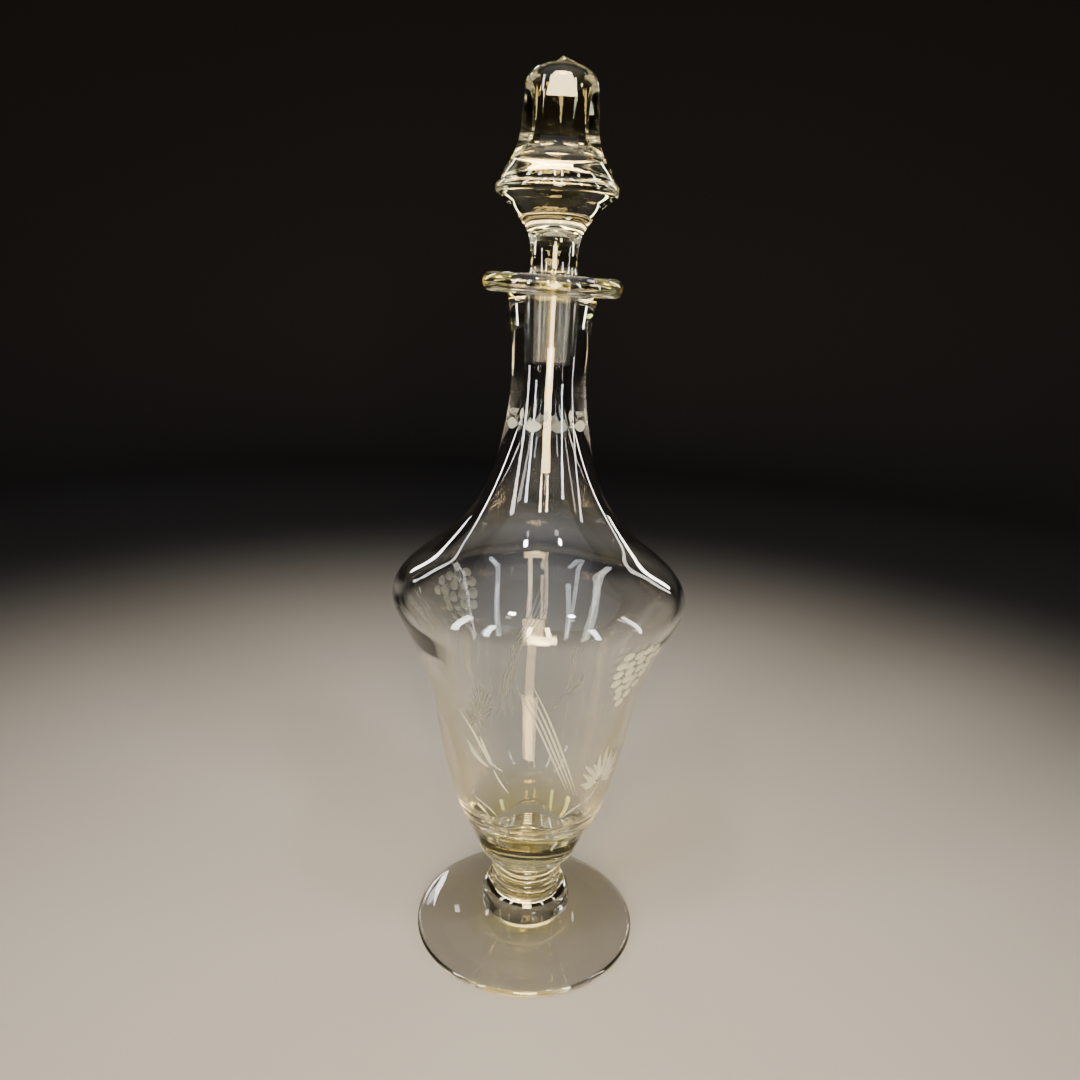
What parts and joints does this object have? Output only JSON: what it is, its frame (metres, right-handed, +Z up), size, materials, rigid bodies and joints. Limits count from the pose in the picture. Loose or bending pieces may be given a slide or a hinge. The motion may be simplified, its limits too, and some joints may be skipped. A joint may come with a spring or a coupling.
{
  "type": "wine decanter",
  "caption": "Footed glass wine decanter: inverted-bell bowl, sloping shoulder, slim neck with a round lip ring, ringed stem and knop, and a lift-out ground stopper with a flanged, fluted bell.",
  "frame": {"origin": "centre of the foot's resting face, on the surface the decanter stands on", "axes": "+Z up along the axis of the decanter and its stopper; -Y is the front, which the engraved lines face"},
  "size_m": [0.1178, 0.1178, 0.3524],
  "materials": {
    "clear_glass": "clear, polished, faint straw tint, fine tool marks",
    "lip_glass": "clear, fire polished, straw to olive tint where it is thick",
    "ground_glass": "ground matte, translucent"
  },
  "bodies": {
    "decanter": {"foot": "clear_glass", "lower_knop": "clear_glass", "stem": "clear_glass", "upper_collar": "clear_glass", "bowl": "clear_glass", "lip_ring": "lip_glass"},
    "stopper": {"stopper_finial": "clear_glass", "stopper_plug": "ground_glass"}
  },
  "joints": [
    {"name": "stopper_lift", "type": "slide", "parent": "decanter", "child": "stopper", "axis": [0, 0, 1], "range_m": [0, 0.06]}
  ]
}
